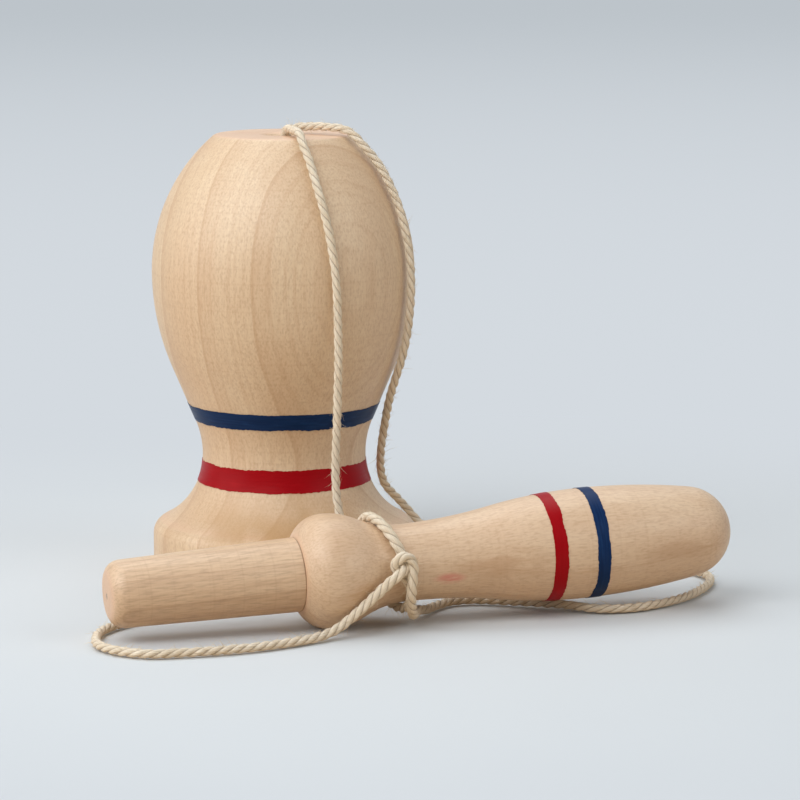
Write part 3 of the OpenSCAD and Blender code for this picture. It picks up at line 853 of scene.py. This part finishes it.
# Single cotton fibres: pale and dull, with small changes of tone from one to the next.
fibre_cotton, fibre_tree, fibre_shader = new_material("loose cotton fibres")
fibre_seat = add(fibre_tree, "ShaderNodeTexCoord")
fibre_tone = streaks(fibre_tree, fibre_seat.outputs["Object"], size=(2 * mm, 2 * mm, 2 * mm),
                     detail=1, contrast=(0.3, 0.7), seed=2.2)
fibre_tree.links.new(over(fibre_tree, linear("#eaddc4"), fibre_tone, 0.5, "#d2bf9d"),
                     fibre_shader.inputs["Base Color"])
fibre_shader.inputs["Roughness"].default_value = 0.9
fibre_shader.inputs["Specular IOR Level"].default_value = 0.2
fibres = loose_fibres("cord_fibres", cord_path, cord_radius, fibre_count, seed=5)
fibres.data.materials.append(fibre_cotton)

for piece in (cord, fibres):
    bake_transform(piece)


# Stopper knot
# Both ends of the cord are tied together inside the head, above the socket. The knot is too large
# for the hole, so it carries the head.
knot_middle_z = 53.7 * mm
knot_ring_r = 2.75 * mm
knot_wave_r = 1.05 * mm
knot_rise = 2.7 * mm
knot_cord_r = 1.0 * mm
knot_lobes = 3
knot_rounds = 2
knot_steps = 240
knot_path = []
for i in range(knot_steps):
    a = 2 * pi * i / knot_steps
    r = knot_ring_r + knot_wave_r * cos(knot_lobes * a)
    z = knot_middle_z + knot_rise * sin(knot_lobes * a)
    knot_path.append(Vector((r * cos(knot_rounds * a), r * sin(knot_rounds * a), z)))
stopper = laid_cord("stopper_knot", even_route(knot_path + knot_path[:2], ring_step),
                    lambda at: knot_cord_r)
dress(stopper, cotton, "cord_drape", "cotton_cord", "cord_stopper_knot")


# Floor and light
# A plain pale studio table without an edge, which goes over into a backdrop colour far away that darkens
# further off, a painted fall-off of the light.
# One soft light hangs in front and one above and behind, weaker ones stand on both sides, and even
# light fills in.
toy_middle = Vector((25 * mm, -35 * mm, 45 * mm))
floor_size = 24
lit_floor_to = 0.09
backdrop_from = 0.26
backdrop_dims_from = 0.25
backdrop_dims_to = 3
bpy.ops.object.select_all(action="DESELECT")
bpy.ops.mesh.primitive_plane_add(size=floor_size)
floor = bpy.context.object
floor.name = "floor"
floor_paper, floor_tree, floor_shader = new_material("pale studio paper")
floor_seat = add(floor_tree, "ShaderNodeTexCoord")
floor_tooth = streaks(floor_tree, floor_seat.outputs["Object"], size=(60 * mm, 60 * mm, 60 * mm),
                      detail=2, contrast=(0.2, 0.8), seed=0.7)
floor_shader.inputs["Roughness"].default_value = 0.8
floor_shader.inputs["Specular IOR Level"].default_value = 0.2


def seen_straight(tree):
    """One for what the camera sees, directly or in a shiny or clear surface."""
    rays = add(tree, "ShaderNodeLightPath")
    shiny = add(tree, "ShaderNodeMath",
                {0: rays.outputs["Is Glossy Ray"], 1: rays.outputs["Is Transmission Ray"]},
                operation="MAXIMUM")
    either = add(tree, "ShaderNodeMath", {0: shiny.outputs[0], 1: rays.outputs["Is Camera Ray"]},
                 operation="MAXIMUM")
    return either.outputs[0]


# The table gives a little warm light back to the toy. Near the toy the camera sees the lit floor
# with its shadows, and far away a backdrop colour that darkens further off: painted fall-off of the
# light.
floor_seen = seen_straight(floor_tree)
floor_cool = over(floor_tree, linear("#d8dfe4"), floor_tooth, 0.25, "#d4dbe1")
floor_tone = add(floor_tree, "ShaderNodeMix",
                 {0: floor_seen, 6: linear("#d0bda4"), 7: floor_cool}, data_type="RGBA")
floor_tree.links.new(floor_tone.outputs[2], floor_shader.inputs["Base Color"])
floor_away = add(floor_tree, "ShaderNodeVectorMath",
                 {0: floor_seat.outputs["Object"], 1: toy_middle}, operation="DISTANCE")
floor_edge = add(floor_tree, "ShaderNodeMapRange",
                 {"Value": floor_away.outputs["Value"], "From Min": lit_floor_to,
                  "From Max": backdrop_from}, interpolation_type="SMOOTHSTEP")
backdrop_falloff = add(floor_tree, "ShaderNodeMapRange",
                  {"Value": floor_away.outputs["Value"], "From Min": backdrop_dims_from,
                   "From Max": backdrop_dims_to}, interpolation_type="SMOOTHSTEP")
# Painted fall-off of the light: the backdrop's colour darkens from near to far
far_colour = over(floor_tree, linear("#d4dae0"), backdrop_falloff.outputs["Result"], 1, "#bdc4ca")
far_paper = add(floor_tree, "ShaderNodeEmission", {"Color": far_colour})
far_share = add(floor_tree, "ShaderNodeMath", {0: floor_edge.outputs["Result"], 1: floor_seen},
                operation="MULTIPLY")
floor_look = add(floor_tree, "ShaderNodeMixShader",
                 {0: far_share.outputs[0], 1: floor_shader.outputs[0], 2: far_paper.outputs[0]})
floor_tree.links.new(floor_look.outputs[0], floor_tree.nodes["Material Output"].inputs["Surface"])
floor.data.materials.append(floor_paper)


def softbox(name, place, size, watts):
    """A square soft light that faces the toy."""
    lamp = bpy.data.lights.new(name, "AREA")
    lamp.size = size
    lamp.energy = watts
    stand = bpy.data.objects.new(name, lamp)
    stand.location = place
    stand.rotation_euler = (toy_middle - Vector(place)).to_track_quat("-Z", "Y").to_euler()
    scene.collection.objects.link(stand)


softbox("key light", place=(-0.48, -0.76, 0.93), size=0.9, watts=9)
softbox("top light", place=(-0.1, 0.45, 1.15), size=1, watts=6.5)
softbox("left light", place=(-0.95, -0.25, 0.45), size=0.9, watts=4.6)
softbox("right light", place=(0.95, -0.5, 0.6), size=0.8, watts=2.8)

world = bpy.data.worlds.new("studio")
world.use_nodes = True
scene.world = world
sky = world.node_tree
even_light = sky.nodes["Background"]
even_light.inputs["Color"].default_value = linear("#f8f2ea")
even_light.inputs["Strength"].default_value = 0.15
seen = add(sky, "ShaderNodeBackground", {"Color": linear("#c3c9d0"), "Strength": 1})
both = add(sky, "ShaderNodeMixShader",
           {0: seen_straight(sky), 1: even_light.outputs[0], 2: seen.outputs[0]})
sky.links.new(both.outputs[0], sky.nodes["World Output"].inputs["Surface"])
scene.view_settings.view_transform = "Standard"
